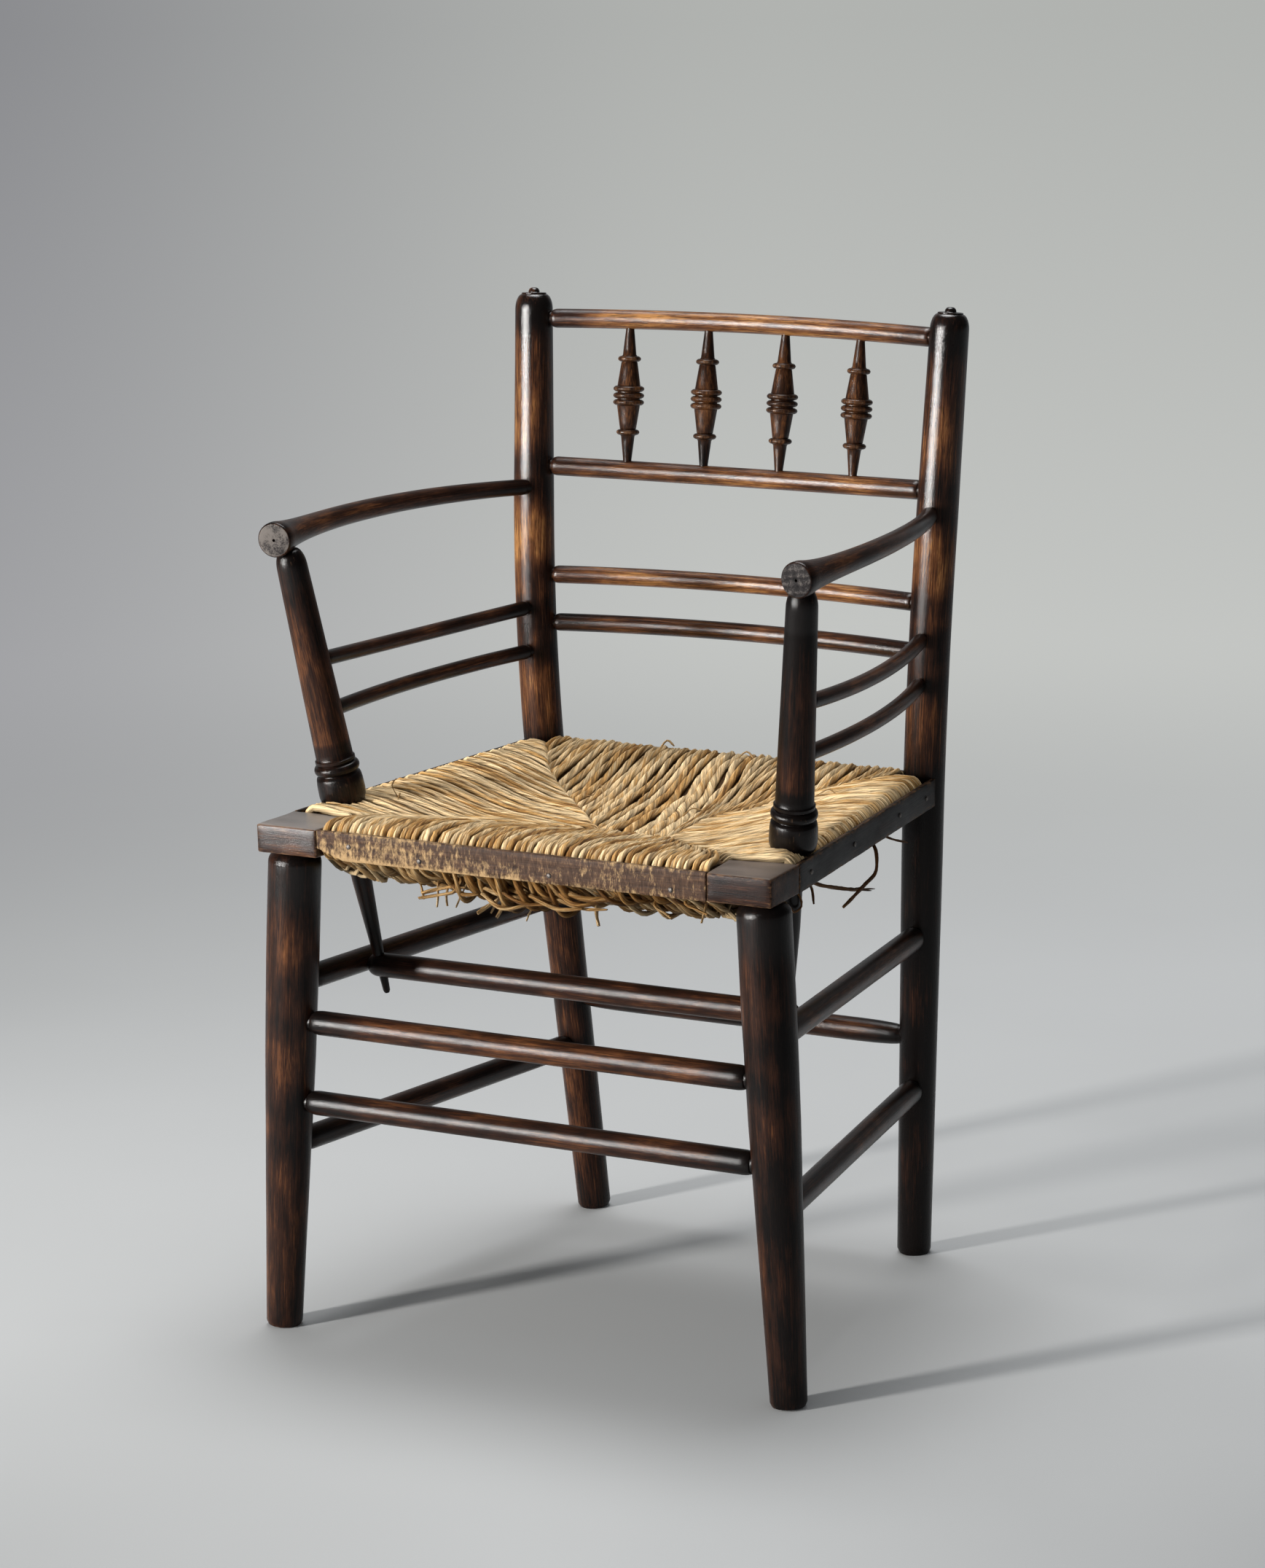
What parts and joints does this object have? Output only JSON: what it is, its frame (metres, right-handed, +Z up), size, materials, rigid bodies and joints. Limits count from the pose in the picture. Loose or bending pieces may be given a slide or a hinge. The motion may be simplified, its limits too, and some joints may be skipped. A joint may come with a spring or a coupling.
{
  "type": "rush-seated armchair",
  "caption": "Turned wooden armchair with bowed arms, a spindle back and a woven rush seat in a thin nailed edging.",
  "frame": {"origin": "on the floor under the middle of the chair's bounding box", "axes": "+Z up, -Y is the front that the sitter faces, +X is the sitter's left"},
  "size_m": [0.5156, 0.4555, 0.8501],
  "materials": {
    "dark_wood": "satin",
    "brown_wood": "satin",
    "worn_wood": "satin",
    "nail_iron": "matte",
    "rush": "matte"
  },
  "bodies": {
    "root": {"rear_post_left": "dark_wood", "rear_post_right": "dark_wood", "front_leg_left": "dark_wood", "front_leg_right": "dark_wood", "arm_support_left": "dark_wood", "arm_support_right": "dark_wood", "side_edge_strip_left": "dark_wood", "side_edge_strip_right": "dark_wood", "arm_left": "brown_wood", "arm_right": "brown_wood", "side_rail_upper_left": "brown_wood", "side_rail_upper_right": "brown_wood", "side_rail_lower_left": "brown_wood", "side_rail_lower_right": "brown_wood", "side_stretcher_upper_left": "brown_wood", "side_stretcher_upper_right": "brown_wood", "side_stretcher_lower_left": "brown_wood", "side_stretcher_lower_right": "brown_wood", "side_seat_rail_left": "brown_wood", "side_seat_rail_right": "brown_wood", "back_rail_1": "brown_wood", "back_rail_2": "brown_wood", "back_rail_3": "brown_wood", "back_rail_4": "brown_wood", "back_spindle_1": "brown_wood", "back_spindle_2": "brown_wood", "back_spindle_3": "brown_wood", "back_spindle_4": "brown_wood", "front_stretcher_upper": "brown_wood", "front_stretcher_lower": "brown_wood", "rear_stretcher": "brown_wood", "cross_bar": "brown_wood", "rear_seat_rail": "brown_wood", "front_seat_rail": "dark_wood", "rear_edge_strip": "dark_wood", "front_edge_strip": "worn_wood", "strip_nails": "nail_iron", "rush_seat": "rush"}
  },
  "joints": []
}
